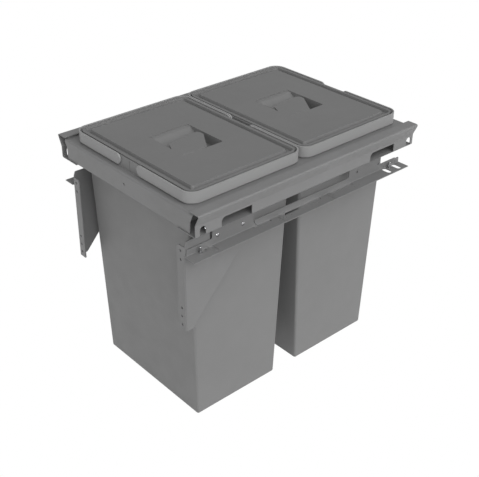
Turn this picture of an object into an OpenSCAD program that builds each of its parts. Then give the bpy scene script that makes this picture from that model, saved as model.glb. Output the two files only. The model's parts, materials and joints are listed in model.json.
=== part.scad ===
/* [Unit] */
// Width over the two frame rails
unit_w = 412; // [390:1:450]
// Depth of the frame rails, front to back
unit_d = 536; // [520:1:580]
// Depth of the bins below the top of the frame rails
bin_depth = 473.6; // [380:0.1:520]

/* [Sheet metal] */
// Thickness of the rails and the tray
sheet = 1.5; // [1.2:0.1:2]
// Thickness of the door brackets
bracket_sheet = 2; // [1.5:0.1:2.5]
// Inner radius of the bends
bend_r = 1.5; // [1:0.1:2]

/* [Frame rails] */
// Height of a frame rail
rail_h = 44.6; // [40:0.1:52]
// Width of the top flange, measured inwards
rail_flange_w = 24; // [20:0.5:26]
// How far the slanted wall leans in
rail_lean = 10; // [6:0.5:14]
// Height of the slanted wall
rail_lean_h = 22.4; // [16:0.1:26]
// Width of the bottom flange, measured inwards
rail_foot_w = 47; // [46:0.5:47]
// Length of a window in the rail wall
window_l = 66; // [50:1:80]
// Distance from the rail end to its window
window_end = 55; // [45:1:65]
// Height of a window above the bottom flange
window_h = 17.1; // [14:0.1:20]
// Corner radius of a window
window_r = 8; // [4:0.5:10]
// Width of the notch near the rail end
notch_w = 12.6; // [8:0.1:16]
// Distance from the rail end to its notch
notch_end = 9.3; // [8:0.1:12]
// Height of a notch above the bottom flange
notch_h = 16.7; // [12:0.1:20]

/* [Tray] */
// How far the tray lies below the top of the rails
tray_drop = 5; // [4:0.1:8]
// Distance from the rail end to the apron face
apron_set = 2; // [1:0.1:4]
// Gap between the apron end and the rail wall
apron_gap = 14.6; // [10:0.1:18]
// How much narrower the apron is at its foot, each side
apron_taper = 1.2; // [0:0.1:3]
// Diameter of the hole in the apron
apron_hole_d = 5; // [3:0.5:8]
// Free space round a bin in its opening
opening_clear = 0.9; // [0.5:0.1:1.2]

/* [Slides] */
// Width of the nested members
slide_w = 17.5; // [17:0.1:19]
// Height of the cabinet member above the mounting flange
slide_low = 26; // [22:0.1:30]
// Height of the foot of the cabinet member's ears above the mounting flange
ear_low = 11; // [9:0.1:13]
// Gap between the cabinet member and the drawer member
slide_gap = 0.8; // [0.6:0.1:2]
// Full pull-out travel
travel = 470; // [400:5:470]
// Distance from the rail front to the members
member_set = 60; // [58:0.5:70]
// Thickness of the members
member_sheet = 1.5; // [1.2:0.1:1.6]
// Diameter of the balls
ball_d = 2.6; // [2.4:0.1:3]
// Running clearance at the balls
ball_clear = 0.3; // [0.25:0.05:0.4]
// Number of balls in a row
ball_n = 8; // [5:1:10]

/* [Cabinet rails] */
// Distance from the side of the unit to the rail web
web_side = 38; // [36:0.5:42]
// Width of the mounting flange outside the web
mount_flange_w = 25.3; // [25:0.1:30]
// Height of the low part of the web
web_low_h = 13.6; // [12:0.1:14]
// Height of the tabs on the web
web_tab_h = 31.5; // [26:0.1:36]
// Length of a mounting slot
slot_l = 20; // [16:0.5:21]
// Width of a mounting slot
slot_w = 10; // [6:0.1:11]
// Distance from the rail front to the front slot
slot_front_in = 53; // [50:0.5:56]
// Distance from the rail rear to the last slots
slot_rear = 19.5; // [18:0.5:21]
// Distance from the rail rear to the slots before the last
slot_rear_in = 47; // [44:0.5:50]
// Diameter of a locating stud
stud_d = 4.6; // [3:0.1:6]
// Height of a locating stud above the flange
stud_h = 11.5; // [8:0.5:14]

/* [Door brackets] */
// Width of the door flange
door_flange_w = 20; // [16:0.5:24]
// Height of the door flange
door_flange_h = 169.5; // [150:0.5:190]
// Height of the flange top above the mounting flange
door_top_h = 18.4; // [14:0.1:20]
// Diameter of the door screw holes
door_hole_d = 5; // [4:0.1:6]
// Distance between neighbouring door screw holes
door_pitch = 17.5; // [12:0.1:20]
// Distance from the flange top to the first hole
door_hole_top = 9.5; // [8:0.1:12]
// Distance from the flange top to the lower group of holes
door_hole_low = 124.2; // [100:0.1:130]
// Length of the gusset along the slide
gusset_l = 148; // [120:1:160]

/* [Bins] */
// Free space between a bin and the slides
bin_clear = 0.8; // [0.6:0.1:1.5]
// Width of the ledge inside the rim, at the sides
ledge_side = 19.8; // [18:0.1:24]
// Width of the ledge inside the rim, front and back
ledge_end = 11.6; // [10:0.1:14]
// How much narrower a bin is at its bottom, each side
taper_side = 7.2; // [4:0.1:10]
// How much shorter a bin is at its bottom, each end
taper_end = 17.4; // [8:0.1:20]
// Wall of a bin
bin_wall = 2.2; // [1.8:0.1:3]
// Vertical corner radius of a bin
bin_r = 6; // [4:0.5:10]
// Height of the stacking shoulder above the bin bottom
shoulder_h = 80; // [60:1:120]
// Step of the stacking shoulder
shoulder_step = 1; // [0.5:0.1:2]

/* [Handles] */
// Height of a handle band
band_h = 20.2; // [16:0.1:24]
// Wall of a handle band
band_wall = 2; // [1.6:0.1:2.2]
// Width of the thicker top edge of a band
band_top_w = 2.4; // [2.2:0.1:2.8]
// Outer corner radius of a band
band_r = 23; // [16:0.5:28]
// Space between the two bins' bands
band_gap = 1.2; // [0.8:0.1:4]
// Space between the rail end and the band
band_end = 12.9; // [12:0.1:18]
// Space between the band and the tray
band_lift = 3.6; // [2.5:0.1:5]
// Distance from the middle of the bin to a handle pivot
pivot_x = 34; // [28:0.5:45]
// Diameter of a handle pivot
pivot_d = 8; // [6:0.1:10]

/* [Lids] */
// Gap between the band face and the lid edge
lid_set = 6; // [5.6:0.1:7]
// Wall of a lid
lid_wall = 2; // [1.6:0.1:2.5]
// Corner radius of a lid
lid_r = 18; // [14:0.5:20]
// Width of the groove round the lid panel
groove_w = 11.5; // [10:0.1:14]
// Depth of the groove
groove_d = 5.5; // [4:0.1:6.5]
// Rim outside the groove
lid_rim = 5.5; // [4:0.1:7]
// Width of the grip pocket
pocket_w = 100; // [80:1:110]
// Depth of the grip pocket, front to back
pocket_l = 88.5; // [76:0.5:96]
// How deep the grip pocket goes
pocket_d = 19; // [14:0.5:20]

/* [Hidden] */
$fn = 48;
// Overrun of the cutting shapes
cut = 1;
// Steps along a round corner of an outline
arc_n = 5;
// Sides of the round ends that are blended into the bins
blend_n = 32;

// The origin is the middle of the inner slot rectangle, on the underside of the mounting flanges
front_y = -(slot_front_in + unit_d - slot_rear_in) / 2;
rear_y = front_y + unit_d;
half_w = unit_w / 2;

// Levels, from the mounting flange up
row_gap = ball_d + 2 * ball_clear;
member_h = 5 * member_sheet + 4 * row_gap;
slide_zc = slide_low + member_h / 2;
frame_z = slide_low + member_h + slide_gap + member_sheet;
rail_top = frame_z + rail_h;
tray_z = rail_top - tray_drop;
band_z = tray_z + band_lift;
band_top = band_z + band_h;
pivot_z = band_z + band_h / 2;
bin_bottom = rail_top - bin_depth;

// Slides: the members nest in one another, with a cage of balls in each gap
web_x = half_w - web_side;
cage_sheet = 0.7;
cage_gap = 0.25;
base_in = web_x - sheet - member_sheet;
mid_out = base_in - cage_sheet - 2 * cage_gap;
bar_end = mid_out - member_sheet - cage_sheet - 3 * cage_gap;
leg_x = web_x - sheet - slide_w;
base_tip = leg_x + 0.4 * slide_w;
mid_tip = leg_x + 0.23 * slide_w;
top_flange_w = 0.63 * slide_w;
outer_row_z = member_h / 2 - member_sheet - row_gap / 2;
inner_row_z = member_sheet / 2 + row_gap / 2;
outer_row_x = mid_out - ball_d;
inner_row_x = bar_end - ball_d;
lip_l = 2;
member_l = unit_d - member_set;
mid_short = 6;
ball_r = ball_d / 2;
cage_l = member_l - mid_short - travel / 2;
cage_y = front_y + member_set + travel / 4;
member_bend = 0.7;

// Bins, handles and lids, as half sizes about the middle of a bin
bin_hx = leg_x - bin_clear;
band_hx = bin_hx + ledge_side;
band_hy = (unit_d - 2 * band_end - band_gap) / 4;
bin_hy = band_hy - ledge_end;
bin_y = [front_y + band_end + band_hy, rear_y - band_end - band_hy];
rim_set = 3.2;
rim_wall = 1.6;
rim_r = band_r - rim_set;
rim_drop = 2.5;
rim_top = band_top - rim_drop;
band_top_h = 1.8;
pivot_boss_in = 0.6;
stud_in = 1.5;
pivot_clear = 0.3;
bin_foot_r = 4.5;
seam_w = 1.2;
seam_d = 0.8;
ring_h = 0.4;
ledge_t = 2;
lid_drop = 0.6;
lid_top = band_top - lid_drop;

// Fasteners and small holes
rivet_d = 4.8;
rivet_head_d = 7.5;
rivet_head_h = 1.5;
rivet_tail_h = 1;
rivet_clear = 0.1;
rivet_h = 16.5;
rivet_y = [69.5, 126.3];
flush_rivet_y = 475;
spare_hole_y = 414.9;
spare_hole_h = 19.2;
spare_hole_d = 5;
top_rivet_d = 3.6;
top_rivet_head_d = 6;
top_rivet_shares = [0.06, 0.35, 0.65, 0.94];
screw_d = 5;
screw_clear = 0.2;
screw_head_d = 9;
screw_head_h = 3;
nut_af = 8;
nut_h = 4;
stud_collar_d = 7;
stud_collar_h = 2.5;
stud_tip_h = 1.2;
stud_gap = 0.15;
stud_front = 28;
stud_rear = 33;

function unit_v(v) = v / norm(v);
function left_of(v) = [-v[1], v[0]];
function turn(a, b) = let (d = b - a) d > 180 ? d - 360 : d < -180 ? d + 360 : d;
function ang(v) = atan2(v[1], v[0]);

// Points along the round at corner b of the line a, b, c; grow widens or narrows the round about its centre
function round_at(a, b, c, r, grow = 0) =
    let (u = unit_v(a - b), v = unit_v(c - b), half = acos(u * v) / 2,
        centre = b + unit_v(u + v) * r / sin(half),
        from = ang(b + u * r / tan(half) - centre), sweep = turn(from, ang(b + v * r / tan(half) - centre)))
    [for (i = [0:arc_n]) centre + (r + grow) * [cos(from + sweep * i / arc_n), sin(from + sweep * i / arc_n)]];

// Outline with each corner rounded by its own radius
function rounded(points, radii) = let (n = len(points))
    [for (i = [0:n - 1]) each radii[i] == 0 ? [points[i]]
        : round_at(points[(i + n - 1) % n], points[i], points[(i + 1) % n], radii[i])];

// One side of a folded sheet whose middle line is path, shift to its left
function fold_side(path, shift, r) = let (n = len(path), first = unit_v(path[1] - path[0]),
        last = unit_v(path[n - 1] - path[n - 2]))
    concat([path[0] + shift * left_of(first)],
        [for (i = [1:n - 2]) each round_at(path[i - 1], path[i], path[i + 1], r,
            -shift * sign(cross(path[i] - path[i - 1], path[i + 1] - path[i])))],
        [path[n - 1] + shift * left_of(last)]);

function reversed(list) = [for (i = [len(list) - 1:-1:0]) list[i]];

// Section of a sheet folded along its middle line
module folded(path, t, inner_r) {
    polygon(concat(fold_side(path, t / 2, inner_r + t / 2), reversed(fold_side(path, -t / 2, inner_r + t / 2))));
}

// Rectangle with round corners, from its half sizes
module slab(hx, hy, r) {
    square([2 * (hx - r), 2 * hy], center = true);
    square([2 * hx, 2 * (hy - r)], center = true);
    for (x = [-1, 1], y = [-1, 1]) translate([x * (hx - r), y * (hy - r)]) circle(r);
}

module slab_solid(hx, hy, r, z0, z1) {
    translate([0, 0, z0]) linear_extrude(z1 - z0) slab(hx, hy, r);
}

// Section drawn in x and z, run along y
module along_y(y0, y1) {
    translate([0, y1, 0]) rotate([90, 0, 0]) linear_extrude(y1 - y0) children();
}

// Outline drawn in y and z, run along x
module along_x(x0, x1) {
    translate([x0, 0, 0]) rotate([90, 0, 90]) linear_extrude(x1 - x0) children();
}

// Cylinder along y, from y0 to y1
module pin_y(x, z, d, y0, y1) {
    translate([x, y1, z]) rotate([90, 0, 0]) cylinder(h = y1 - y0, d = d);
}

// Cylinder along x, from x0 to x1
module pin_x(y, z, d, x0, x1) {
    translate([x0, y, z]) rotate([0, 90, 0]) cylinder(h = x1 - x0, d = d);
}

module side(s) {
    if (s > 0) children();
    else mirror([1, 0, 0]) children();
}

// Long hole along x
module slot_hole(x, y, l, w, z0, z1) {
    translate([x, y, z0]) linear_extrude(z1 - z0) {
        square([l - w, w], center = true);
        for (e = [-1, 1]) translate([e * (l - w) / 2, 0]) circle(d = w);
    }
}

// Cabinet rail: mounting flange, web and tabs
all_rivet_y = concat(rivet_y, [flush_rivet_y]);
slot_foot = 1.3;
slot_x = web_x + slot_foot + slot_l / 2;
slot_y = [front_y + slot_front_in, rear_y - slot_rear_in, rear_y - slot_rear];
web_front = 3;
web_corner_r = 5;
tab_r = 4;
tab_foot_r = 3;
web_step_l = 11;
web_step_h = 2;
tab_shares = [[0.1082, 0.2817], [0.7313, 0.898]];
relief_share = 0.311;
relief_r = 14;
relief_w = 1.5;
flange_cut_shares = [[0.279, 0.351], [0.4, 0.582], [0.632, 0.7425]];
flange_cut_w = 6.5;
emboss_shares = [0.3825, 0.6155];
emboss_hx = 10;
emboss_hy = 6;
emboss_arm = 2.4;
emboss_d = 0.6;
dimple_shares = [0.427, 0.554, 0.731, 0.756];
dimple_d = 3;
flange_hole_share = 0.401;
stud_slit_l = 17;

module rail_web_outline() {
    top = web_tab_h;
    low = web_low_h;
    tabs = [for (t = tab_shares) [front_y + t[0] * unit_d, front_y + t[1] * unit_d]];
    polygon(rounded([[front_y + web_front, 0], [front_y + web_front, low],
        [tabs[0][0], low], [tabs[0][0], top], [tabs[0][1], top], [tabs[0][1], low],
        [tabs[1][0], low], [tabs[1][0], top], [tabs[1][1], top], [tabs[1][1], low],
        [rear_y - web_step_l, low], [rear_y - web_step_l, low - web_step_h],
        [rear_y, low - web_step_h], [rear_y, 0]],
        [0, web_corner_r, tab_foot_r, tab_r, tab_r, tab_foot_r, tab_foot_r, tab_r, tab_r, tab_foot_r,
        bend_r / 2, bend_r / 2, bend_r, 0]));
}

// Curved slit behind the front tab, from the top of the low web down to the bend
module rail_relief() {
    size = 2 * relief_r;
    translate([front_y + relief_share * unit_d, web_low_h]) intersection() {
        difference() {
            circle(relief_r + relief_w, $fn = 96);
            circle(relief_r, $fn = 96);
        }
        translate([-size, -size]) square([size, size + cut]);
    }
}

module rail_emboss(y) {
    translate([slot_x + slot_foot, y, sheet - emboss_d]) linear_extrude(emboss_d + cut) {
        square([2 * emboss_hx, emboss_arm], center = true);
        square([emboss_arm, 2 * emboss_hy], center = true);
    }
}

module rail_base() {
    mid = sheet / 2;
    color("gray") difference() {
        union() {
            intersection() {
                along_y(front_y, rear_y) folded([[web_x + mount_flange_w, mid], [web_x - mid, mid],
                    [web_x - mid, web_tab_h + cut]], sheet, bend_r);
                union() {
                    along_x(web_x - sheet, web_x + cut) rail_web_outline();
                    translate([web_x, front_y, 0]) cube([mount_flange_w, unit_d, sheet + bend_r]);
                }
            }
        }
        for (y = slot_y) slot_hole(slot_x, y, slot_l, slot_w, -cut, sheet + cut);
        for (s = flange_cut_shares)
            translate([web_x + bend_r / 2, front_y + s[0] * unit_d, -cut])
                cube([flange_cut_w, (s[1] - s[0]) * unit_d, sheet + 2 * cut]);
        translate([web_x + bend_r / 2, front_y + stud_front + stud_collar_d / 2 + stud_gap, -cut])
            cube([flange_cut_w, stud_slit_l - stud_collar_d, sheet + 2 * cut]);
        for (s = emboss_shares) rail_emboss(front_y + s * unit_d);
        for (s = dimple_shares) translate([slot_x + slot_foot * 2, front_y + s * unit_d, sheet - emboss_d])
            cylinder(h = emboss_d + cut, d = dimple_d);
        translate([slot_x + slot_foot * 2, front_y + flange_hole_share * unit_d, -cut])
            cylinder(h = sheet + 2 * cut, d = dimple_d);
        along_x(web_x - sheet - cut, web_x + bend_r) rail_relief();
        for (y = all_rivet_y)
            pin_x(front_y + y, rivet_h, rivet_d + 2 * rivet_clear, web_x - sheet - cut, web_x + cut);
        pin_x(front_y + spare_hole_y, spare_hole_h, spare_hole_d, web_x - sheet - cut, web_x + cut);
    }
}

// Section of a channel that opens inwards, with lips; out is its outer face, tip its open end
module channel(out, tip, h) {
    mid = member_sheet / 2;
    half = h / 2 - mid;
    lip = h / 2 - member_sheet - lip_l;
    translate([0, slide_zc]) folded([[tip + mid, lip], [tip + mid, half], [out - mid, half],
        [out - mid, -half], [tip + mid, -half], [tip + mid, -lip]], member_sheet, member_bend);
}

// Cabinet member, with ears that are riveted to the tabs of the web
ear_in = 9;
ear_r = 4;
ear_spans = [[rivet_y[0] - ear_in, rivet_y[1] + ear_in], [flush_rivet_y - 3 * ear_in, flush_rivet_y + ear_in / 2]];

module slide_base() {
    color("silver") difference() {
        union() {
            along_y(front_y + member_set, rear_y) channel(base_in + member_sheet, base_tip, member_h);
            for (e = ear_spans) along_x(base_in, base_in + member_sheet)
                polygon(rounded([[front_y + max(e[0], member_set), ear_low], [front_y + e[1], ear_low],
                    [front_y + e[1], slide_zc], [front_y + max(e[0], member_set), slide_zc]], [ear_r, ear_r, 0, 0]));
        }
        for (y = all_rivet_y) pin_x(front_y + y, rivet_h, rivet_d + 2 * rivet_clear, base_in - cut, web_x);
    }
}

// Drawer member: a bar between the inner rows of balls, a leg up, and a flange under the frame rail
module slide_top() {
    mid = member_sheet / 2;
    color("silver") difference() {
        along_y(front_y + member_set, rear_y - mid_short)
            folded([[bar_end, slide_zc], [leg_x + mid, slide_zc], [leg_x + mid, frame_z - mid],
                [leg_x + top_flange_w, frame_z - mid]], member_sheet, member_bend);
        for (s = top_rivet_shares) translate([top_rivet_x, top_rivet_at(s), frame_z - 2 * member_sheet])
            cylinder(h = 3 * member_sheet, d = top_rivet_d + 2 * rivet_clear);
    }
}

module slide_mid() {
    color("silver") along_y(front_y + member_set, rear_y - mid_short)
        channel(mid_out, mid_tip, 3 * member_sheet + 2 * row_gap);
}

// Rows of balls above and below the member they carry
ball_end = 6;
function ball_y(i) = cage_y + ball_end + i * (cage_l - 2 * ball_end) / (ball_n - 1);

module cage_balls(row_x, row_z) {
    color("white") for (i = [0:ball_n - 1], z = [-1, 1])
        translate([row_x, ball_y(i), slide_zc + z * row_z]) sphere(r = ball_r);
}

// Cage: a strip folded round the inner member and holed for the balls
ball_seat = 0.12;
module ball_cage(row_x, row_z, out) {
    tip = row_x - ball_d;
    half = cage_sheet / 2;
    color("white") difference() {
        translate([0, 0, slide_zc]) along_y(cage_y, cage_y + cage_l) difference() {
            translate([tip, -row_z - half]) square([out - tip, 2 * (row_z + half)]);
            translate([tip - cut, -row_z + half]) square([out - cage_sheet - tip + cut, 2 * (row_z - half)]);
        }
        for (i = [0:ball_n - 1], z = [-1, 1])
            translate([row_x, ball_y(i), slide_zc + z * row_z]) sphere(r = ball_r + ball_seat);
    }
}

// Rivets, studs and screws
module rivet_shank(y) {
    pin_x(y, rivet_h, rivet_d, base_in, web_x);
    translate([base_in, y, rivet_h]) rotate([0, -90, 0])
        cylinder(h = rivet_tail_h, d1 = rivet_head_d, d2 = rivet_d);
}

// Rivet with a domed head outside the web, given by its width and height in shares
dome_shares = [[1, 0], [0.96, 0.3], [0.8, 0.66], [0.5, 0.92], [0.2, 1]];
module base_rivet(y) {
    rivet_shank(y);
    for (i = [0:len(dome_shares) - 2])
        translate([web_x + dome_shares[i][1] * rivet_head_h, y, rivet_h]) rotate([0, 90, 0])
            cylinder(h = (dome_shares[i + 1][1] - dome_shares[i][1]) * rivet_head_h,
                d1 = dome_shares[i][0] * rivet_head_d, d2 = dome_shares[i + 1][0] * rivet_head_d);
}

top_rivet_x = leg_x + top_flange_w / 2;
function top_rivet_at(s) = front_y + member_set + s * (unit_d - member_set - mid_short);

module rail_stud(y) {
    translate([web_x + bend_r + stud_collar_d / 2 + stud_gap, y, sheet]) {
        cylinder(h = stud_collar_h, d = stud_collar_d);
        cylinder(h = stud_h - stud_tip_h, d = stud_d);
        translate([0, 0, stud_h - stud_tip_h]) cylinder(h = stud_tip_h, d1 = stud_d, d2 = stud_d - stud_tip_h);
    }
}

// Frame rail section, right-hand side, in x and z
module frame_rail_section() {
    mid = sheet / 2;
    wall = half_w - rail_lean;
    folded([[half_w - rail_flange_w, rail_top - mid], [half_w - mid, rail_top - mid],
        [wall - mid, rail_top - rail_lean_h], [wall - mid, frame_z + mid],
        [wall - rail_foot_w, frame_z + mid]], sheet, bend_r);
}

module rail_notch(y) {
    r = notch_w / 2;
    translate([y, frame_z + sheet]) {
        translate([-r, 0]) square([notch_w, notch_h - r]);
        translate([0, notch_h - r]) circle(r);
    }
}

// Window with one round top corner, towards the nearer rail end
module rail_window(y, dir) {
    z = frame_z + sheet;
    polygon(rounded([[y, z], [y, z + window_h], [y + dir * window_l, z + window_h], [y + dir * window_l, z]],
        [0, window_r, 0, 0]));
}

module frame_rail() {
    wall = half_w - rail_lean;
    color("gray") difference() {
        along_y(front_y, rear_y) frame_rail_section();
        along_x(wall - sheet - bend_r, half_w) {
            rail_notch(front_y + notch_end + notch_w / 2);
            rail_notch(rear_y - notch_end + rear_notch_shift - notch_w / 2);
            rail_window(front_y + window_end, 1);
            rail_window(rear_y - window_end - window_l, 1);
        }
        for (y = foot_screw_y) translate([foot_screw_x, y, frame_z - cut])
            cylinder(h = sheet + 2 * cut, d = screw_d + 2 * screw_clear);
        for (s = top_rivet_shares) translate([top_rivet_x, top_rivet_at(s), frame_z - cut])
            cylinder(h = sheet + 2 * cut, d = top_rivet_d + 2 * rivet_clear);
    }
}
rear_notch_shift = 3.3;

module top_rivet(y) {
    translate([top_rivet_x, y, frame_z - member_sheet]) {
        cylinder(h = member_sheet + sheet, d = top_rivet_d);
        translate([0, 0, member_sheet + sheet])
            cylinder(h = rivet_head_h, d1 = top_rivet_head_d, d2 = top_rivet_d);
    }
}

// Tray: plate with raised side strips, folded down into an apron at each end
strip_in = 3;
strip_clear = 2;
apron_bend = 3;
apron_clear = 0.2;
corner_slit_w = 1.5;
plate_set = 8;
apron_hole_drop = 20;
function tray_corner() = bin_r + opening_clear;

module tray_section() {
    mid = sheet / 2;
    low = tray_z - mid;
    high = rail_top - sheet - mid;
    start = half_w - rail_flange_w + strip_in;
    rise = max(high - low, 2 * bend_r);
    stop = half_w - rail_lean / 2 - sheet - strip_clear;
    folded([[-stop, high], [-start - rise, high], [-start, low], [start, low], [start + rise, high], [stop, high]],
        sheet, bend_r / 2);
}

// Inner face of the rail wall at height z
function wall_in(z) = half_w - sheet - rail_lean * min(1, (rail_top - z) / rail_lean_h);

module apron_outline(foot) {
    bend_z = rail_top - rail_lean_h;
    right = [[wall_in(tray_z) - apron_gap, tray_z], [wall_in(bend_z) - apron_gap, bend_z],
        [wall_in(bend_z) - apron_gap - apron_taper, foot]];
    polygon(concat(right, reversed([for (p = right) [-p[0], p[1]]])));
}

module apron(dir) {
    mid = sheet / 2;
    foot = frame_z + sheet + apron_clear;
    reach = apron_set + plate_set;
    intersection() {
        along_x(-half_w, half_w) folded([[dir * (reach + cut), tray_z - mid], [dir * (apron_set + mid), tray_z - mid],
            [dir * (apron_set + mid), foot - cut]], sheet, apron_bend);
        along_y(-reach - cut, reach + cut) apron_outline(foot);
    }
}

module tray() {
    color("gray") difference() {
        union() {
            intersection() {
                along_y(front_y + apron_set + plate_set, rear_y - apron_set - plate_set) tray_section();
                translate([-half_w, front_y, frame_z]) cube([unit_w, unit_d, rail_h]);
            }
            translate([0, front_y, 0]) apron(1);
            translate([0, rear_y, 0]) apron(-1);
        }
        for (y = bin_y) translate([0, y, 0])
            slab_solid(bin_hx + opening_clear, bin_hy + opening_clear, tray_corner(), frame_z + rail_h / 2, rail_top);
        for (y = [front_y, rear_y - 2 * apron_set - 2 * sheet])
            pin_y(0, tray_z - apron_hole_drop, apron_hole_d, y, y + 2 * apron_set + 2 * sheet);
        for (x = [-1, 1], y = [front_y + apron_set + plate_set - corner_slit_w, rear_y - apron_set - plate_set])
            translate([x * (half_w - rail_flange_w / 2 - strip_in), y + corner_slit_w / 2, tray_z])
                cube([rail_flange_w / 2, corner_slit_w, 2 * sheet + cut], center = true);
    }
}

// Door bracket: door flange, gusset, and an arm with a foot under the frame rail
gusset_clear = 0.6;
gusset_x = web_x - sheet - gusset_clear;
gusset_drop = 1;
arm_shares = [0.45, 0.917];
foot_l = 24;
foot_screw_x = gusset_x + foot_l / 2 + bracket_sheet;
foot_screw_in = 7;
arm_y = [for (s = arm_shares) front_y + s * member_set];
foot_screw_y = [arm_y[0] + foot_screw_in, arm_y[1] - foot_screw_in];
door_bottom = door_top_h - door_flange_h;
gusset_foot = 16;
gusset_r = 6;
door_r = 7;
gusset_top_h = 28.3;
gusset_nose = 5;
door_holes = [door_hole_top, door_hole_top + door_pitch, door_hole_low, door_hole_low + door_pitch,
    door_hole_low + 2 * door_pitch];
door_hole_x = gusset_x - door_flange_w / 2;

module gusset_outline() {
    arm_top = frame_z - bracket_sheet - bend_r;
    polygon(rounded([[front_y + bracket_sheet, door_bottom], [front_y + bracket_sheet, door_top_h + bracket_sheet],
        [front_y + gusset_nose, gusset_top_h], [arm_y[0], gusset_top_h], [arm_y[0], arm_top],
        [arm_y[1], arm_top], [arm_y[1], -gusset_drop],
        [front_y + gusset_l, -gusset_drop], [front_y + gusset_foot, door_bottom]],
        [0, 0, bend_r / 2, bend_r, 0, 0, gusset_r, gusset_r, gusset_r]));
}

module door_bracket() {
    mid = bracket_sheet / 2;
    color("gray") difference() {
        union() {
            along_x(gusset_x - bracket_sheet, gusset_x) gusset_outline();
            intersection() {
                translate([0, 0, door_bottom]) linear_extrude(door_flange_h)
                    folded([[gusset_x - door_flange_w, front_y + mid], [gusset_x - mid, front_y + mid],
                        [gusset_x - mid, front_y + gusset_foot / 2]], bracket_sheet, bend_r);
                along_y(front_y - cut, front_y + gusset_foot) polygon(rounded(
                    [[gusset_x - door_flange_w, door_bottom], [gusset_x - door_flange_w, door_top_h],
                    [gusset_x, door_top_h], [gusset_x, door_bottom]], [bend_r, door_r, 0, bend_r]));
            }
            along_y(arm_y[0], arm_y[1]) folded([[gusset_x - mid, frame_z - bracket_sheet - bend_r - cut],
                [gusset_x - mid, frame_z - mid], [gusset_x + foot_l, frame_z - mid]], bracket_sheet, bend_r);
        }
        for (d = door_holes) pin_y(door_hole_x, door_top_h - d, door_hole_d, front_y - cut, front_y + bracket_sheet + cut);
        for (y = foot_screw_y) translate([foot_screw_x, y, frame_z - bracket_sheet - cut])
            cylinder(h = bracket_sheet + 2 * cut, d = screw_d + 2 * screw_clear);
    }
}

// Screw down through the frame rail and the bracket foot, with its nut below
module bracket_screw(y) {
    translate([foot_screw_x, y, frame_z]) {
        translate([0, 0, sheet]) cylinder(h = screw_head_h, d1 = screw_head_d, d2 = screw_head_d - screw_head_h);
        translate([0, 0, -bracket_sheet - nut_h - cut]) cylinder(h = bracket_sheet + nut_h + cut + sheet, d = screw_d);
        translate([0, 0, -bracket_sheet - nut_h]) cylinder(h = nut_h, d = nut_af / cos(30), $fn = 6);
    }
}

// Bin: tapered tub with a stacking shoulder, ledge and rim. The tub is blended from round corners.
function tub_hx(z) = bin_hx - taper_side * (rail_top - z) / bin_depth;
function tub_hy(z) = bin_hy - taper_end * (rail_top - z) / bin_depth;

module tub_ring(z, inset, r) {
    for (x = [-1, 1], y = [-1, 1])
        translate([x * (tub_hx(z) - inset - r), y * (tub_hy(z) - inset - r), z])
            cylinder(h = ring_h, r = r, $fn = blend_n);
}

module tub_foot(z, inset, r) {
    for (x = [-1, 1], y = [-1, 1])
        translate([x * (tub_hx(z) - inset - r), y * (tub_hy(z) - inset - r), z + r]) sphere(r = r, $fn = blend_n);
}

module tub(inset, top) {
    shoulder = bin_bottom + shoulder_h;
    hull() {
        tub_ring(top - ring_h, inset, bin_r - inset);
        tub_ring(shoulder, inset, bin_r - inset);
    }
    hull() {
        tub_ring(shoulder, inset, bin_r - inset);
        tub_ring(shoulder - 2 * shoulder_step, inset + shoulder_step, bin_r - inset);
        tub_foot(bin_bottom + inset, inset, bin_foot_r - inset / 2);
    }
}

module bin() {
    rim_hx = band_hx - rim_set;
    rim_hy = band_hy - rim_set;
    color("dimgray") difference() {
        union() {
            tub(0, tray_z + ledge_t / 2);
            slab_solid(rim_hx, rim_hy, rim_r, tray_z, rim_top);
            for (x = [-1, 1], y = [-1, 1])
                pin_y(x * pivot_x, pivot_z, pivot_d, y > 0 ? rim_hy - cut : -band_hy + stud_in,
                    y > 0 ? band_hy - stud_in : -rim_hy + cut);
        }
        tub(bin_wall, tray_z + ledge_t + cut);
        slab_solid(rim_hx - rim_wall, rim_hy - rim_wall, rim_r - rim_wall, tray_z + ledge_t, rim_top + cut);
        for (y = [-1, 1]) translate([0, y * rim_hy, (tray_z + rim_top) / 2])
            cube([seam_w, 2 * seam_d, rim_top - tray_z - 2 * seam_w], center = true);
    }
}

// Handle half band, right-hand side about the middle of a bin
module handle() {
    far = band_hx + cut;
    color("darkgray") difference() {
        union() {
            intersection() {
                union() {
                    difference() {
                        slab_solid(band_hx, band_hy, band_r, band_z, band_top);
                        slab_solid(band_hx - band_wall, band_hy - band_wall, band_r - band_wall,
                            band_z - cut, band_top + cut);
                    }
                    difference() {
                        slab_solid(band_hx, band_hy, band_r, band_top - band_top_h, band_top);
                        slab_solid(band_hx - band_top_w, band_hy - band_top_w, band_r - band_top_w,
                            band_z, band_top + cut);
                    }
                }
                translate([pivot_x, -far, band_z - cut]) cube([far, 2 * far, band_h + 2 * cut]);
            }
            for (y = [-1, 1]) pin_y(pivot_x, pivot_z, band_h, y > 0 ? boss_y : -band_hy, y > 0 ? band_hy : -boss_y);
        }
        for (y = [-1, 1]) pin_y(pivot_x, pivot_z, pivot_d + 2 * pivot_clear, y > 0 ? boss_y - cut : -stud_y,
            y > 0 ? stud_y : -boss_y + cut);
    }
}
boss_y = band_hy - rim_set + pivot_boss_in;
stud_y = band_hy - stud_in + pivot_clear;

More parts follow.
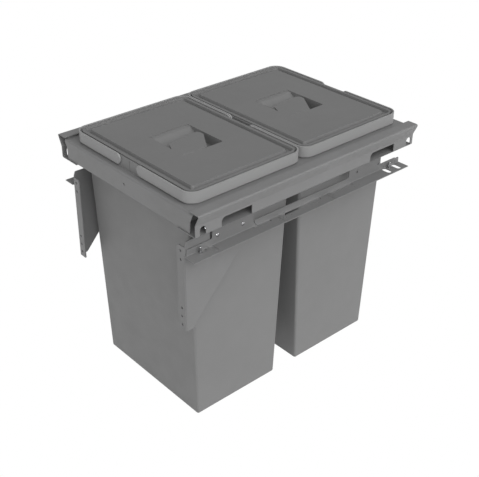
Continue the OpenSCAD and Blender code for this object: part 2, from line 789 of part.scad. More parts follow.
// Lid: skirt, rim, groove, panel and grip pocket
groove_out_share = 0.14;
groove_in_share = 0.27;
groove_r = 9;
panel_r = 4;
pocket_y = -1.2;
pocket_r = 3;
pocket_ledge_w = 7.5;
pocket_ledge_d = 1.2;
slope_shares = [[0, 0], [0.1, 0.13], [0.3, 0.38], [0.6, 0.73], [0.8, 0.91], [0.92, 0.98], [1, 1]];
slope_w_share = 0.34;
tongue_t = 2.4;
tongue_shares = [[0.38, -1], [-0.1, -0.786], [-0.27, 0.875], [0.056, 0.875]];
tongue_side_share = 0.163;
tongue_rs = [0, 3, 8, 5];
tongue_fold_w = 5.5;
tongue_fold_d = 1.4;
gate_at = [-3.9, 2];
gate_d = 3;
gate_h = 0.6;

// Cut or body of the groove: sloped on both sides, between a funnel and the raised panel inside it
module groove_shape(hx, hy, w, top, floor_z) {
    out_run = groove_out_share * groove_w;
    in_run = groove_in_share * groove_w;
    difference() {
        hull() {
            slab_solid(hx, hy, groove_r, top, top + cut);
            slab_solid(hx - out_run, hy - out_run, groove_r - out_run, floor_z, top);
        }
        hull() {
            slab_solid(hx - w, hy - w, panel_r, top - ring_h, top + 2 * cut);
            slab_solid(hx - w + in_run, hy - w + in_run, panel_r + in_run / 2, floor_z - cut, floor_z);
        }
    }
}

module pocket_slope() {
    hx = pocket_w / 2;
    run = slope_w_share * pocket_w;
    start = -hx + pocket_ledge_w;
    deep = pocket_d - pocket_ledge_d;
    polygon(concat([[-hx - lid_wall / 2, lid_top - pocket_d - lid_wall / 2], [-hx - lid_wall / 2, lid_top - pocket_ledge_d]],
        [for (s = slope_shares) [start + s[0] * run, lid_top - pocket_ledge_d - s[1] * deep]],
        [[start + run, lid_top - pocket_d - lid_wall / 2]]));
}

module tongue_outline() {
    hx = pocket_w / 2;
    hy = pocket_l / 2;
    edge = lid_wall / 2;
    polygon(rounded(concat([[tongue_shares[0][0] * hx, -hy - edge], [hx + edge, -hy - edge],
        [hx + edge, tongue_side_share * hy]], reversed([for (i = [1:3]) [tongue_shares[i][0] * hx, tongue_shares[i][1] * hy]])),
        [0, 0, 0, tongue_rs[3], tongue_rs[2], tongue_rs[1]]));
}

module lid() {
    hx = band_hx - lid_set;
    hy = band_hy - lid_set;
    seat = tray_z + ledge_t;
    px = pocket_w / 2;
    py = pocket_l / 2;
    color("gray") {
        difference() {
            union() {
                difference() {
                    slab_solid(hx, hy, lid_r, seat, lid_top);
                    slab_solid(hx - lid_wall, hy - lid_wall, lid_r - lid_wall, seat - cut, lid_top - lid_wall);
                }
                intersection() {
                    groove_shape(hx - lid_rim + lid_wall, hy - lid_rim + lid_wall, groove_w + 2 * lid_wall,
                        lid_top - lid_wall / 2, lid_top - groove_d - lid_wall);
                    slab_solid(hx - lid_wall, hy - lid_wall, lid_r - lid_wall, seat, lid_top - lid_wall / 2);
                }
                translate([0, pocket_y, 0]) slab_solid(px + lid_wall, py + lid_wall, pocket_r + lid_wall,
                    lid_top - pocket_d - lid_wall, lid_top - lid_wall / 2);
            }
            groove_shape(hx - lid_rim, hy - lid_rim, groove_w, lid_top, lid_top - groove_d);
            translate([0, pocket_y, 0]) slab_solid(px, py, pocket_r, lid_top - pocket_d, lid_top + cut);
        }
        translate([0, pocket_y, 0]) {
            along_y(-py - lid_wall / 2, py + lid_wall / 2) pocket_slope();
            difference() {
                translate([0, 0, lid_top - tongue_t]) linear_extrude(tongue_t) tongue_outline();
                along_y(-py, tongue_side_share * py) polygon([[px - tongue_fold_w, lid_top + cut],
                    [px - tongue_fold_w, lid_top], [px - tongue_fold_d / 2, lid_top - tongue_fold_d],
                    [px, lid_top], [px, lid_top + cut]]);
            }
            translate([gate_at[0], gate_at[1], lid_top - tongue_t / 2])
                cylinder(h = tongue_t / 2 + gate_h, d1 = gate_d, d2 = gate_d / 2);
        }
    }
}

module at_bin(i) {
    translate([0, bin_y[i], 0]) children();
}

side(-1) rail_base();  // cabinet_rail_left
side(1) rail_base();  // cabinet_rail_right
side(-1) slide_base();  // slide_base_left
side(1) slide_base();  // slide_base_right
color("silver") for (s = [-1, 1]) side(s) {  // base_rivets
    for (y = rivet_y) base_rivet(front_y + y);
    rivet_shank(front_y + flush_rivet_y);
}
color("silver")  // rail_studs
    for (s = [-1, 1], y = [front_y + stud_front, rear_y - stud_rear]) side(s) rail_stud(y);
side(-1) slide_mid();  // slide_mid_left
side(1) slide_mid();  // slide_mid_right
side(-1) ball_cage(outer_row_x, outer_row_z, base_in - cage_gap);  // outer_cage_left
side(1) ball_cage(outer_row_x, outer_row_z, base_in - cage_gap);  // outer_cage_right
side(-1) ball_cage(inner_row_x, inner_row_z, mid_out - member_sheet - cage_gap);  // inner_cage_left
side(1) ball_cage(inner_row_x, inner_row_z, mid_out - member_sheet - cage_gap);  // inner_cage_right
side(-1) cage_balls(outer_row_x, outer_row_z);  // outer_balls_left
side(1) cage_balls(outer_row_x, outer_row_z);  // outer_balls_right
side(-1) cage_balls(inner_row_x, inner_row_z);  // inner_balls_left
side(1) cage_balls(inner_row_x, inner_row_z);  // inner_balls_right
side(-1) slide_top();  // slide_top_left
side(1) slide_top();  // slide_top_right
side(-1) frame_rail();  // frame_rail_left
side(1) frame_rail();  // frame_rail_right
tray();
color("silver")  // top_rivets
    for (s = [-1, 1], t = top_rivet_shares) side(s) top_rivet(top_rivet_at(t));
side(-1) door_bracket();  // door_bracket_left
side(1) door_bracket();  // door_bracket_right
color("silver")  // bracket_screws
    for (s = [-1, 1], y = foot_screw_y) side(s) bracket_screw(y);
at_bin(0) bin();  // bin_front
at_bin(1) bin();  // bin_rear
at_bin(0) side(-1) handle();  // handle_front_left
at_bin(0) side(1) handle();  // handle_front_right
at_bin(1) side(-1) handle();  // handle_rear_left
at_bin(1) side(1) handle();  // handle_rear_right
at_bin(0) lid();  // lid_front
at_bin(1) lid();  // lid_rear
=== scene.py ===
# %% [markdown]
# A pull-out waste unit for a kitchen base cabinet. Two lidded bins hang in a folded steel tray, and
# the tray rides out of the cabinet on a pair of slides with the cabinet door screwed to its front.
#
# The shapes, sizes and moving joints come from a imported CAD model. This script loads it, gives each
# surface its finish, swaps the plastic mouldings and the small fasteners for finer meshes, and sets
# up the studio. Everything is in metres, in the frame of the model: the origin lies between the two
# mounting flanges, +X is to the right of someone who stands at the door, +Y runs into the cabinet
# and +Z points up.

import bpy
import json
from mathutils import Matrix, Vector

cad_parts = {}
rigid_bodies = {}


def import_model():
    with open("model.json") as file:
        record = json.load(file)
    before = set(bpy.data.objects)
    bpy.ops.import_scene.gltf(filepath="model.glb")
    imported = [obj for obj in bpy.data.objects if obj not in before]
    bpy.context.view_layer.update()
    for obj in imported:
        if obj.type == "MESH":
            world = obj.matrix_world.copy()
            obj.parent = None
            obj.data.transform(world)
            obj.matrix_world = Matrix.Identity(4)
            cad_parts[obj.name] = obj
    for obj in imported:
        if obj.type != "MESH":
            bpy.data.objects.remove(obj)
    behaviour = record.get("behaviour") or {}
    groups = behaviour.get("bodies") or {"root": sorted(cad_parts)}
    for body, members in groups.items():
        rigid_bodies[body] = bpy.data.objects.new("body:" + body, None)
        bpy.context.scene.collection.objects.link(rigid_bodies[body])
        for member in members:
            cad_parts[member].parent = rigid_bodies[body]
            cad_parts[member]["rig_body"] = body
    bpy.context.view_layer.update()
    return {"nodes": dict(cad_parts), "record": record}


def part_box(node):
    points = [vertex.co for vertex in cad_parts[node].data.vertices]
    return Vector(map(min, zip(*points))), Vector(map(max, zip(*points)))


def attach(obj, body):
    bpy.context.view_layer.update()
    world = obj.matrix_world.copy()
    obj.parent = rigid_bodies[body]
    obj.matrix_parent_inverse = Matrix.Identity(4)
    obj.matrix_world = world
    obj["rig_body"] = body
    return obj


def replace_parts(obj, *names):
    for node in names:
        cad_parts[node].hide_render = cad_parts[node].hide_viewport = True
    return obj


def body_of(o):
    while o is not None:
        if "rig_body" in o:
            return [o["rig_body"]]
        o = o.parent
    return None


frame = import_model()

# %% Modules and the sizes of the photograph
import json
import math

import bmesh
import bpy
from mathutils import Vector

MM = 0.001
PHOTO_SIZE = (479, 477)
SIDES = ("left", "right")
print("photograph", PHOTO_SIZE)

# %% [markdown]
# The camera stands where the photographer's stood. Its place was found by matching the edges of the
# rails, the rims and the brackets to straight lines in the photograph. It looks down by a little
# over thirty degrees from the front right corner. The photograph was cropped off centre, and a
# small lens shift puts the picture back where it was without tilting the camera.

# %% Camera
FOCAL_PX = 897.57
CAMERA_AT = Vector((1143.8, -1029.8, 786.9)) * MM
CAMERA_AZIMUTH, CAMERA_DROP = 49.116, 30.072
PRINCIPAL_PX = (225.04, 219.74)

camera_data = bpy.data.cameras.new("photo_camera")
camera_data.sensor_fit = "HORIZONTAL"
camera_data.sensor_width = 36.0
camera_data.lens = FOCAL_PX / PHOTO_SIZE[0] * camera_data.sensor_width
camera_data.shift_x = (PHOTO_SIZE[0] / 2 - PRINCIPAL_PX[0]) / PHOTO_SIZE[0]
camera_data.shift_y = (PRINCIPAL_PX[1] - PHOTO_SIZE[1] / 2) / PHOTO_SIZE[0]
camera_data.clip_start, camera_data.clip_end = 0.05, 50.0
camera = bpy.data.objects.new("photo_camera", camera_data)
camera.location = CAMERA_AT
camera.rotation_euler = (math.radians(90 - CAMERA_DROP), 0, math.radians(CAMERA_AZIMUTH))
bpy.context.collection.objects.link(camera)
bpy.context.scene.camera = camera
print("lens", round(camera_data.lens, 2), "mm")
print("shift", round(camera_data.shift_x, 4), round(camera_data.shift_y, 4))

# %% [markdown]
# A finish is a small tree of shader nodes, and most trees need the same few steps: take the place
# on the object in metres, make noise from it, and turn the noise into a faint change of colour,
# gloss or height. These helpers name those steps, so that each finish below reads like a recipe.
# The pattern follows Object coordinates, because every mesh has its origin at the frame's origin
# and the grain then has its true size. Noise seldom leaves the middle of its range, so NOISE_BAND
# is the part that is spread out to the full change.

# %% Helpers for finishes
NOISE_BAND = (0.3, 0.7)
NARROW_BAND = (0.35, 0.65)
# Sockets of a Mix node that is set to colours
MIX_SHARE, MIX_A, MIX_B, MIX_RESULT = 0, 6, 7, 2


def linear(grey):
    """Linear value of a grey given as it looks on screen, 0 to 255."""
    c = grey / 255
    return c / 12.92 if c <= 0.04045 else ((c + 0.055) / 1.055) ** 2.4


class Finish:
    """A material under construction: its tree, its shader and the place on the object."""

    def __init__(self, name, metallic, roughness, specular=0.5):
        self.material = bpy.data.materials.new(name)
        self.material.use_nodes = True
        self.tree = self.material.node_tree
        self.shader = self.tree.nodes["Principled BSDF"]
        self.shader.inputs["Metallic"].default_value = metallic
        self.shader.inputs["Roughness"].default_value = roughness
        self.shader.inputs["Specular IOR Level"].default_value = specular
        self.place = self.add("ShaderNodeTexCoord").outputs["Object"]

    def add(self, kind):
        return self.tree.nodes.new(kind)

    def link(self, start, end):
        self.tree.links.new(start, end)

    def noise(self, size, detail=2.0, stretch=(1, 1, 1)):
        """Noise with blobs about size metres across, longer along an axis with a small stretch."""
        mapping = self.add("ShaderNodeMapping")
        mapping.inputs["Scale"].default_value = stretch
        self.link(self.place, mapping.inputs["Vector"])
        node = self.add("ShaderNodeTexNoise")
        node.inputs["Scale"].default_value = 1 / size
        node.inputs["Detail"].default_value = detail
        self.link(mapping.outputs["Vector"], node.inputs["Vector"])
        return node.outputs["Fac"]

    def spread(self, value, low, high, out_low, out_high):
        """Maps a value from low..high to out_low..out_high and clamps it."""
        node = self.add("ShaderNodeMapRange")
        numbers = {"From Min": low, "From Max": high, "To Min": out_low, "To Max": out_high}
        for socket, number in numbers.items():
            node.inputs[socket].default_value = number
        self.link(value, node.inputs["Value"])
        return node.outputs["Result"]

    def colour(self, value, dark, light):
        """Base colour between two colours, by a value from 0 to 1."""
        mix = self.add("ShaderNodeMix")
        mix.data_type = "RGBA"
        mix.inputs[MIX_A].default_value = (*dark, 1)
        mix.inputs[MIX_B].default_value = (*light, 1)
        self.link(value, mix.inputs[MIX_SHARE])
        self.link(mix.outputs[MIX_RESULT], self.shader.inputs["Base Color"])

    def bump(self, value, height, normal=None):
        """Normals of a skin that rises by height metres where the value is 1."""
        node = self.add("ShaderNodeBump")
        node.inputs["Distance"].default_value = height
        node.inputs["Strength"].default_value = 1.0
        self.link(value, node.inputs["Height"])
        if normal is not None:
            self.link(normal, node.inputs["Normal"])
        return node.outputs["Normal"]

    def round_edges(self, radius):
        """Normals that roll over the sharp edges, as paint and plating do."""
        node = self.add("ShaderNodeBevel")
        node.samples = 4
        node.inputs["Radius"].default_value = radius
        return node.outputs["Normal"]

    def normal(self, value):
        """The normals that the shader uses."""
        self.link(value, self.shader.inputs["Normal"])


print("finish helpers ready")

# %% [markdown]
# The rails, the tray and the brackets are sheet steel with a baked powder coat. Powder melts into a
# skin that is never quite flat, so light breaks on it in a fine ripple. The coat is a mid grey, and
# it pulls back a little from the edges of the sheet, which is why those edges catch a thin line of
# light. Cloudy variation of one or two greys keeps large faces from looking like a flat fill.

# %% Powder-coated steel
def powder_coat(name, grey):
    f = Finish(name, metallic=0.0, roughness=0.42, specular=0.5)
    cloud = f.spread(f.noise(90 * MM, 3), *NOISE_BAND, 0, 1)
    light = linear(grey + 2)
    f.colour(cloud, (linear(grey - 2),) * 3, (light, light, linear(grey + 2.5)))
    gloss = f.spread(f.noise(12 * MM, 3), *NOISE_BAND, 0.38, 0.48)
    f.link(gloss, f.shader.inputs["Roughness"])
    f.normal(f.bump(f.noise(0.9 * MM, 2), 0.015 * MM, f.round_edges(0.6 * MM)))
    return f.material


frame_coat = powder_coat("frame_powder_coat", 124)
rail_coat = powder_coat("rail_powder_coat", 124)
print("made", frame_coat.name, rail_coat.name)

# %% [markdown]
# The slide members are left in plain zinc. Zinc plating on rolled strip is dull, cool in colour and
# drawn out along the slide, so the noise is stretched along Y until it reads as rolling marks.

# %% Zinc-plated slide steel
def zinc_plate(name):
    f = Finish(name, metallic=1.0, roughness=0.36)
    drawn = f.noise(4 * MM, 3, stretch=(1, 0.02, 1))
    f.colour(f.spread(drawn, *NOISE_BAND, 0, 1), (0.30, 0.305, 0.315), (0.40, 0.405, 0.41))
    gloss = f.spread(f.noise(20 * MM, 2), *NOISE_BAND, 0.3, 0.44)
    f.link(gloss, f.shader.inputs["Roughness"])
    f.normal(f.bump(drawn, 0.02 * MM, f.round_edges(0.4 * MM)))
    return f.material


def bright_steel(name):
    """Polished steel of the fasteners and the balls."""
    f = Finish(name, metallic=1.0, roughness=0.16)
    cloud = f.spread(f.noise(3 * MM, 2), *NARROW_BAND, 0, 1)
    f.colour(cloud, (0.40, 0.40, 0.41), (0.48, 0.48, 0.49))
    gloss = f.spread(f.noise(1.5 * MM, 2), *NOISE_BAND, 0.12, 0.24)
    f.link(gloss, f.shader.inputs["Roughness"])
    f.normal(f.bump(f.noise(0.5 * MM, 2), 0.004 * MM, f.round_edges(0.3 * MM)))
    return f.material


slide_zinc = zinc_plate("slide_zinc")
fastener_steel = bright_steel("bright_fastener_steel")
print("made", slide_zinc.name, fastener_steel.name)

# %% [markdown]
# The bins, the folding handle bands and the lids are moulded from the same grey plastic in three
# close shades: the bands are the lightest and the lids the darkest. A mould is eroded so that the
# part comes out with a fine matt grain. The grain is about a third of a millimetre across, with a
# broader wander under it from the way thick plastic cools.

# %% Moulded plastic
def moulded_plastic(name, grey):
    f = Finish(name, metallic=0.0, roughness=0.5, specular=0.45)
    cloud = f.spread(f.noise(120 * MM, 2), *NOISE_BAND, 0, 1)
    f.colour(cloud, (linear(grey - 1.2),) * 3, (linear(grey + 1.2),) * 3)
    gloss = f.spread(f.noise(30 * MM, 3), *NOISE_BAND, 0.45, 0.55)
    f.link(gloss, f.shader.inputs["Roughness"])
    wander = f.bump(f.noise(50 * MM, 1), 0.05 * MM)
    f.normal(f.bump(f.noise(0.35 * MM, 1), 0.008 * MM, wander))
    return f.material


bin_plastic = moulded_plastic("bin_plastic_grey", 127)
band_plastic = moulded_plastic("band_plastic_light_grey", 151)
lid_plastic = moulded_plastic("lid_plastic_grey", 116)
print("made", bin_plastic.name, band_plastic.name, lid_plastic.name)

# %% [markdown]
# The cages that hold the balls are nylon with no colour added, which is a warm off-white. They are
# hidden until the unit is pulled out.

# %% Cage plastic
def natural_nylon(name):
    f = Finish(name, metallic=0.0, roughness=0.45, specular=0.5)
    cloud = f.spread(f.noise(20 * MM, 2), *NOISE_BAND, 0, 1)
    f.colour(cloud, (0.62, 0.61, 0.56), (0.68, 0.67, 0.62))
    gloss = f.spread(f.noise(4 * MM, 2), *NOISE_BAND, 0.4, 0.52)
    f.link(gloss, f.shader.inputs["Roughness"])
    f.normal(f.bump(f.noise(0.6 * MM, 2), 0.01 * MM))
    return f.material


cage_nylon = natural_nylon("cage_nylon")
print("made", cage_nylon.name)

# %% [markdown]
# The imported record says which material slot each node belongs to. One table turns a slot into the
# finish made above, so each CAD node gets its material by that name and none is forgotten.

# %% Finishes on the CAD nodes
FINISH_OF_SLOT = {
    "frame_steel": frame_coat, "rail_steel": rail_coat, "slide_steel": slide_zinc,
    "bright_steel": fastener_steel, "cage_plastic": cage_nylon, "bin_plastic": bin_plastic,
    "handle_plastic": band_plastic, "lid_plastic": lid_plastic,
}
slot_of_node = {s["node"]: s["material_slot"] for s in frame["record"]["subparts"]}
for name, node in frame["nodes"].items():
    node.data.materials.clear()
    node.data.materials.append(FINISH_OF_SLOT[slot_of_node[name]])
print("finished", len(frame["nodes"]), "nodes")

# %% [markdown]
# Moulded edges are never knife sharp, because the mould is cut with a small radius. The CAD model
# leaves these edges sharp, so each moulding is shown through a copy of its mesh with a fine bevel
# and smooth shading. The copy drops the split vertices of the CAD mesh, merges its flat triangles
# back into whole faces, and takes the place of the node. Only edges sharper than BEVEL_FROM_DEG are
# cut, so the round corners stay as they are and are only shaded smooth.
#
# MOULD_RADIUS is the most that a bevel may be. The overlap clamp holds the whole mesh to what its
# shortest edge allows, and on these meshes that is under 0.05 mm, far less than a mould's radius,
# so the edges still look crisp. The short edges would have to go first for the bevel to grow.

# %% Mouldings with a fine bevel and smooth shading
MOULD_RADIUS = {"lid": 1.1 * MM, "bin": 0.5 * MM, "handle": 1.0 * MM}
BEVEL_FROM_DEG = 38
BEVEL_SEGMENTS = 3
FLAT_WITHIN_DEG = 0.5
WELD = 1e-6


def bake(obj):
    """Turns what the modifiers make into the object's own mesh and takes the modifiers off."""
    bpy.context.view_layer.update()
    evaluated = obj.evaluated_get(bpy.context.evaluated_depsgraph_get())
    mesh = bpy.data.meshes.new_from_object(evaluated)
    mesh.name = obj.name
    obj.modifiers.clear()
    obj.data = mesh


def soft_moulding(name, width):
    """Shows a node through a copy of its mesh, finely bevelled and shaded smooth."""
    source = frame["nodes"][name]
    body = body_of(source)[0]
    mesh = source.data.copy()
    mesh.name = "soft_" + name
    bm = bmesh.new()
    bm.from_mesh(mesh)
    bmesh.ops.remove_doubles(bm, verts=bm.verts, dist=WELD)
    flat_limit = math.radians(FLAT_WITHIN_DEG)
    bmesh.ops.dissolve_limit(bm, angle_limit=flat_limit, verts=bm.verts, edges=bm.edges)
    bm.to_mesh(mesh)
    bm.free()
    obj = bpy.data.objects.new("soft_" + name, mesh)
    bpy.context.collection.objects.link(obj)
    bevel = obj.modifiers.new("mould_radius", "BEVEL")
    bevel.width = width
    bevel.segments = BEVEL_SEGMENTS
    bevel.limit_method = "ANGLE"
    bevel.angle_limit = math.radians(BEVEL_FROM_DEG)
    bevel.use_clamp_overlap = True
    bevel.miter_outer = "MITER_ARC"
    mesh.polygons.foreach_set("use_smooth", [True] * len(mesh.polygons))
    flat = obj.modifiers.new("large_faces_flat", "WEIGHTED_NORMAL")
    flat.weight = 100
    bake(obj)
    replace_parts(obj, name)
    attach(obj, body)


moulded = [name for name in frame["nodes"] if name.split("_")[0] in MOULD_RADIUS]
for name in moulded:
    soft_moulding(name, MOULD_RADIUS[name.split("_")[0]])
print("softened", len(moulded), "mouldings")

# %% [markdown]
# Rivets, studs and balls are small and repeat, so one kind of Geometry Nodes tree makes them all.
# It takes the foot of each solid of the CAD node as a point, and sets a finer round body on every
# point. The tree has named inputs for the length, the radius, how finely a body is cut and its
# material. It ends by making the instances real and setting the material, and the result is baked
# into one plain mesh.

# %% Solids of a CAD node
def solids_of(name):
    """Lowest and highest corner of each separate solid in a node."""
    bm = bmesh.new()
    bm.from_mesh(frame["nodes"][name].data)
    bmesh.ops.remove_doubles(bm, verts=bm.verts, dist=WELD)
    left, found = set(bm.verts), []
    while left:
        todo, seen = [left.pop()], []
        while todo:
            v = todo.pop()
            seen.append(v.co.copy())
            for e in v.link_edges:
                other = e.other_vert(v)
                if other in left:
                    left.remove(other)
                    todo.append(other)
        low = Vector([min(c[i] for c in seen) for i in range(3)])
        high = Vector([max(c[i] for c in seen) for i in range(3)])
        found.append((low, high))
    bm.free()
    return sorted(found, key=lambda b: tuple(b[0]))


for name in ("base_rivets", "rail_studs", "top_rivets", "outer_balls_left"):
    print(name, len(solids_of(name)), "solids")

# %% [markdown]
# The tree draws a short line, turns it into a round body with a circle that swells and shrinks
# along it, and sets a copy on each point. A profile says how the radius changes from the foot of a
# body, at 0, to its tip, at 1.

# %% Tree for a round body
def round_body_tree(name, profile):
    """A body turned about its axis. The profile is a list of (share of length, share of radius)."""
    tree = bpy.data.node_groups.new(name, "GeometryNodeTree")
    face = tree.interface
    face.new_socket("Geometry", in_out="INPUT", socket_type="NodeSocketGeometry")
    for label, kind in (("Length", "Float"), ("Radius", "Float"), ("Rings", "Int"),
                        ("Sides", "Int"), ("Material", "Material")):
        face.new_socket(label, in_out="INPUT", socket_type="NodeSocket" + kind)
    face.new_socket("Geometry", in_out="OUTPUT", socket_type="NodeSocketGeometry")
    add, link = tree.nodes.new, tree.links.new
    start, end = add("NodeGroupInput"), add("NodeGroupOutput")
    top = add("ShaderNodeCombineXYZ")
    link(start.outputs["Length"], top.inputs["Z"])
    axis = add("GeometryNodeCurvePrimitiveLine")
    link(top.outputs[0], axis.inputs["End"])
    rings = add("GeometryNodeResampleCurve")
    link(axis.outputs[0], rings.inputs["Curve"])
    link(start.outputs["Rings"], rings.inputs["Count"])
    along = add("GeometryNodeSplineParameter")
    outline = add("ShaderNodeFloatCurve")
    curve = outline.mapping.curves[0]
    for k, (share, radius) in enumerate(profile):
        if k < 2:
            curve.points[k].location = (share, radius)
        else:
            curve.points.new(share, radius)
    for point in curve.points:
        point.handle_type = "VECTOR"
    outline.mapping.update()
    link(along.outputs["Factor"], outline.inputs["Value"])
    circle = add("GeometryNodeCurvePrimitiveCircle")
    link(start.outputs["Sides"], circle.inputs["Resolution"])
    link(start.outputs["Radius"], circle.inputs["Radius"])
    turned = add("GeometryNodeCurveToMesh")
    turned.inputs["Fill Caps"].default_value = True
    link(rings.outputs[0], turned.inputs["Curve"])
    link(circle.outputs[0], turned.inputs["Profile Curve"])
    link(outline.outputs[0], turned.inputs["Scale"])
    facing = add("GeometryNodeInputNamedAttribute")
    facing.data_type = "FLOAT_VECTOR"
    facing.inputs["Name"].default_value = "facing"
    turn = add("FunctionNodeAlignRotationToVector")
    link(facing.outputs[0], turn.inputs["Vector"])
    spread = add("GeometryNodeInstanceOnPoints")
    link(start.outputs["Geometry"], spread.inputs["Points"])
    link(turned.outputs[0], spread.inputs["Instance"])
    link(turn.outputs[0], spread.inputs["Rotation"])
    real = add("GeometryNodeRealizeInstances")
    link(spread.outputs[0], real.inputs[0])
    paint = add("GeometryNodeSetMaterial")
    link(real.outputs[0], paint.inputs["Geometry"])
    link(start.outputs["Material"], paint.inputs["Material"])
    link(paint.outputs[0], end.inputs[0])
    return tree


# %% [markdown]
# The outlines are written as shares, so that each one stretches with the solid it stands for. A
# domed rivet is 5.5 mm long, with its spread tail at the foot and its head at the tip, and a
# locating stud is 11.5 mm tall, with a collar at the foot and a tapered point.

# %% Outlines of the round bodies
DOME_STEPS, BALL_STEPS = 8, 16
# Share of the length over which a body steps from one radius to the next
STEP = 0.004
# Radius of a shank, as a share of the radius of the head or the collar
RIVET_SHANK, BUTTON_SHANK, STUD_SHANK = 0.64, 0.6, 0.657
# Places along a body where its outline changes, as shares of its length
RIVET_TAIL, RIVET_HEAD, FLUSH_TAIL, BUTTON_HEAD = 1 / 5.5, 4 / 5.5, 0.25, 2 / 3
STUD_FOOT, STUD_RIM, STUD_TAPER, STUD_TIP = 2.3 / 11.5, 2.5 / 11.5, 10.3 / 11.5, 11 / 11.5


def dome(base):
    """The last part of a profile: a round dome from the share base to the tip."""
    turn = [math.pi / 2 * k / DOME_STEPS for k in range(DOME_STEPS + 1)]
    return [(base + (1 - base) * math.sin(a), math.cos(a)) for a in turn]


domed_profile = [(0, 1), (RIVET_TAIL, RIVET_SHANK), (RIVET_HEAD - STEP, RIVET_SHANK)]
flush_profile = [(0, 1), (FLUSH_TAIL, RIVET_SHANK), (1, RIVET_SHANK)]
button_profile = [(0, BUTTON_SHANK), (BUTTON_HEAD - STEP, BUTTON_SHANK)]
stud_profile = [(0, 1), (STUD_FOOT, 1), (STUD_RIM, 0.94), (STUD_RIM + STEP, STUD_SHANK),
                (STUD_TAPER, STUD_SHANK), (STUD_TIP, 0.56), (1, 0.486)]
ball_turn = [math.pi * k / BALL_STEPS for k in range(BALL_STEPS + 1)]
DOMED = round_body_tree("domed_rivet", domed_profile + dome(RIVET_HEAD))
FLUSH = round_body_tree("flush_rivet", flush_profile)
BUTTON = round_body_tree("button_rivet", button_profile + dome(BUTTON_HEAD))
STUD = round_body_tree("locating_stud", stud_profile)
BALL = round_body_tree("ball", [((1 - math.cos(a)) / 2, math.sin(a)) for a in ball_turn])
print("trees", [t.name for t in (DOMED, FLUSH, BUTTON, STUD, BALL)])

# %% [markdown]
# A body's length is the size of its solid along the way it faces, and its radius is half of the
# larger size across. The rivets of the webs face left on the left and right on the right, and the
# rest face up. The points carry the way they face as an attribute, which the tree reads when it
# turns each copy.

# %% Fasteners and balls
SIDES_ROUND = 24
SHARP_FROM_DEG = 40
UP = (0.0, 0.0, 1.0)


def round_bodies(name, tree, boxes, facings, rings):
    """One mesh with a round body in the place of each box of a node's solids."""
    axis = max(range(3), key=lambda i: abs(facings[0][i]))
    size = boxes[0][1] - boxes[0][0]
    places = []
    for (low, high), way in zip(boxes, facings):
        at = (low + high) / 2
        at[axis] = low[axis] if way[axis] > 0 else high[axis]
        places.append(at)
    mesh = bpy.data.meshes.new(name)
    mesh.from_pydata(places, [], [])
    way = mesh.attributes.new("facing", "FLOAT_VECTOR", "POINT")
    way.data.foreach_set("vector", [c for v in facings for c in v])
    obj = bpy.data.objects.new(name, mesh)
    bpy.context.collection.objects.link(obj)
    maker = obj.modifiers.new("round_bodies", "NODES")
    maker.node_group = tree
    node = name.split("-")[0]
    across = max(size[i] for i in range(3) if i != axis)
    values = {"Length": size[axis], "Radius": across / 2, "Rings": rings, "Sides": SIDES_ROUND,
              "Material": FINISH_OF_SLOT[slot_of_node[node]]}
    for item in tree.interface.items_tree:
        if item.in_out == "INPUT" and item.name in values:
            maker[item.identifier] = values[item.name]
    bake(obj)
    obj.data.polygons.foreach_set("use_smooth", [True] * len(obj.data.polygons))
    obj.data.set_sharp_from_angle(angle=math.radians(SHARP_FROM_DEG))
    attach(obj, body_of(frame["nodes"][node])[0])
    return obj


def outward(boxes):
    """The way from the middle of the unit for each box."""
    return [(1.0 if low.x > 0 else -1.0, 0.0, 0.0) for low, high in boxes]


rivets = solids_of("base_rivets")
# A flush rivet is shorter than a domed one by the height of its head
longest = max(high.x - low.x for low, high in rivets)
domed = [b for b in rivets if b[1].x - b[0].x > longest - MM / 2]
flush = [b for b in rivets if b not in domed]
heads = round_bodies("base_rivets-domed", DOMED, domed, outward(domed), rings=64)
plugs = round_bodies("base_rivets-flush", FLUSH, flush, outward(flush), rings=24)
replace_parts(heads, "base_rivets")
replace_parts(plugs, "base_rivets")
for name, tree, rings in [("rail_studs", STUD, 80), ("top_rivets", BUTTON, 48)]:
    boxes = solids_of(name)
    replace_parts(round_bodies(name + "-round", tree, boxes, [UP] * len(boxes), rings), name)
for name in [f"{row}_balls_{side}" for row in ("inner", "outer") for side in SIDES]:
    boxes = solids_of(name)
    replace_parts(round_bodies(name + "-round", BALL, boxes, [UP] * len(boxes), 24), name)
print("round bodies", sum(1 for o in bpy.data.objects if "-" in o.name))

# %% [markdown]
# The studio is a white room. The camera sees the floor and the background as pure white, while the
# object gets its light from a plain grey sky and broad soft lamps. The strongest stands on the
# right and makes the right-hand faces a step lighter than the front, as in the photograph. A weaker
# one stands low at the front, a third one low behind is there for other views, and a faint fill
# without shadows lifts the recesses. The floor is darker to the object than it looks, so little
# light comes back from below, and it can be seen through from underneath.

# %% Floor and background
FLOOR_SIZE = 30.0
FLOOR_GREY = 0.45
FLOOR_GAP = 0.5 * MM


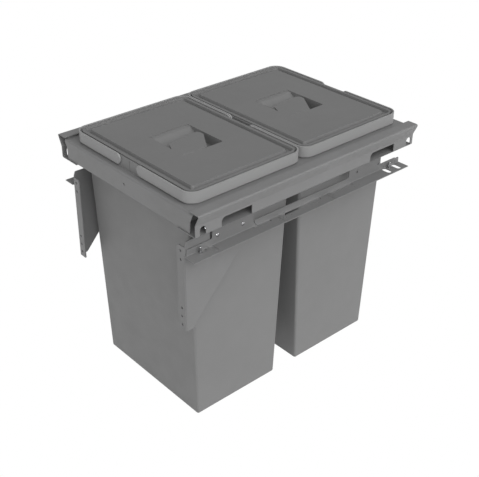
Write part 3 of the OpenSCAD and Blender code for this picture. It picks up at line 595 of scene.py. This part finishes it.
def studio_floor(level):
    """A floor that the camera sees as white and the object as grey."""
    mesh = bpy.data.meshes.new("studio_floor")
    h = FLOOR_SIZE / 2
    mesh.from_pydata([(-h, -h, level), (h, -h, level), (h, h, level), (-h, h, level)], [], [(0, 1, 2, 3)])
    obj = bpy.data.objects.new("studio_floor", mesh)
    bpy.context.collection.objects.link(obj)
    material = bpy.data.materials.new("studio_floor_white")
    material.use_nodes = True
    tree = material.node_tree
    shader = tree.nodes["Principled BSDF"]
    shader.inputs["Base Color"].default_value = (FLOOR_GREY, FLOOR_GREY, FLOOR_GREY, 1)
    shader.inputs["Roughness"].default_value = 0.9
    glow = tree.nodes.new("ShaderNodeEmission")
    glow.inputs["Strength"].default_value = 1.0
    rays = tree.nodes.new("ShaderNodeLightPath")
    seen = tree.nodes.new("ShaderNodeMath")
    seen.operation = "MAXIMUM"
    tree.links.new(rays.outputs["Is Camera Ray"], seen.inputs[0])
    tree.links.new(rays.outputs["Is Glossy Ray"], seen.inputs[1])
    mix = tree.nodes.new("ShaderNodeMixShader")
    tree.links.new(seen.outputs[0], mix.inputs[0])
    tree.links.new(shader.outputs[0], mix.inputs[1])
    tree.links.new(glow.outputs[0], mix.inputs[2])
    side = tree.nodes.new("ShaderNodeNewGeometry")
    clear = tree.nodes.new("ShaderNodeBsdfTransparent")
    from_below = tree.nodes.new("ShaderNodeMixShader")
    tree.links.new(side.outputs["Backfacing"], from_below.inputs[0])
    tree.links.new(mix.outputs[0], from_below.inputs[1])
    tree.links.new(clear.outputs[0], from_below.inputs[2])
    tree.links.new(from_below.outputs[0], tree.nodes["Material Output"].inputs["Surface"])
    mesh.materials.append(material)
    return obj


floor = studio_floor(min(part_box("bin_front")[0].z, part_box("bin_rear")[0].z) - FLOOR_GAP)
print("floor at", round(floor.data.vertices[0].co.z, 4))

# %% Sky and lamps
def studio_sky(strength):
    """A sky that lights the object evenly and looks white to the camera."""
    world = bpy.data.worlds.new("studio_sky")
    bpy.context.scene.world = world
    world.use_nodes = True
    tree = world.node_tree
    tree.nodes.clear()
    out = tree.nodes.new("ShaderNodeOutputWorld")
    sky = tree.nodes.new("ShaderNodeBackground")
    white = tree.nodes.new("ShaderNodeBackground")
    sky.inputs["Strength"].default_value = strength
    sky.inputs["Color"].default_value = (1, 1, 1, 1)
    white.inputs["Color"].default_value = (1, 1, 1, 1)
    white.inputs["Strength"].default_value = 1.0
    rays = tree.nodes.new("ShaderNodeLightPath")
    mix = tree.nodes.new("ShaderNodeMixShader")
    tree.links.new(rays.outputs["Is Camera Ray"], mix.inputs[0])
    tree.links.new(sky.outputs[0], mix.inputs[1])
    tree.links.new(white.outputs[0], mix.inputs[2])
    tree.links.new(mix.outputs[0], out.inputs["Surface"])


def soft_sun(name, towards, strength, spread_deg, shadow=True):
    """A broad lamp whose light comes from the direction given."""
    data = bpy.data.lights.new(name, "SUN")
    data.energy = strength
    data.angle = math.radians(spread_deg)
    data.use_shadow = shadow
    obj = bpy.data.objects.new(name, data)
    obj.rotation_euler = Vector(towards).to_track_quat("Z", "Y").to_euler()
    bpy.context.collection.objects.link(obj)


studio_sky(0.34)
soft_sun("right_lamp", towards=(1.0, 0.0, 0.95), strength=1.98, spread_deg=60)
soft_sun("front_lamp", towards=(0.0, -1.0, 0.15), strength=0.6, spread_deg=60)
soft_sun("rear_lamp", towards=(0.45, 1.0, -0.05), strength=0.8, spread_deg=30)
soft_sun("corner_fill", towards=(0.65, -0.65, 0.4), strength=0.4, spread_deg=0, shadow=False)
bpy.context.scene.view_settings.view_transform = "Standard"
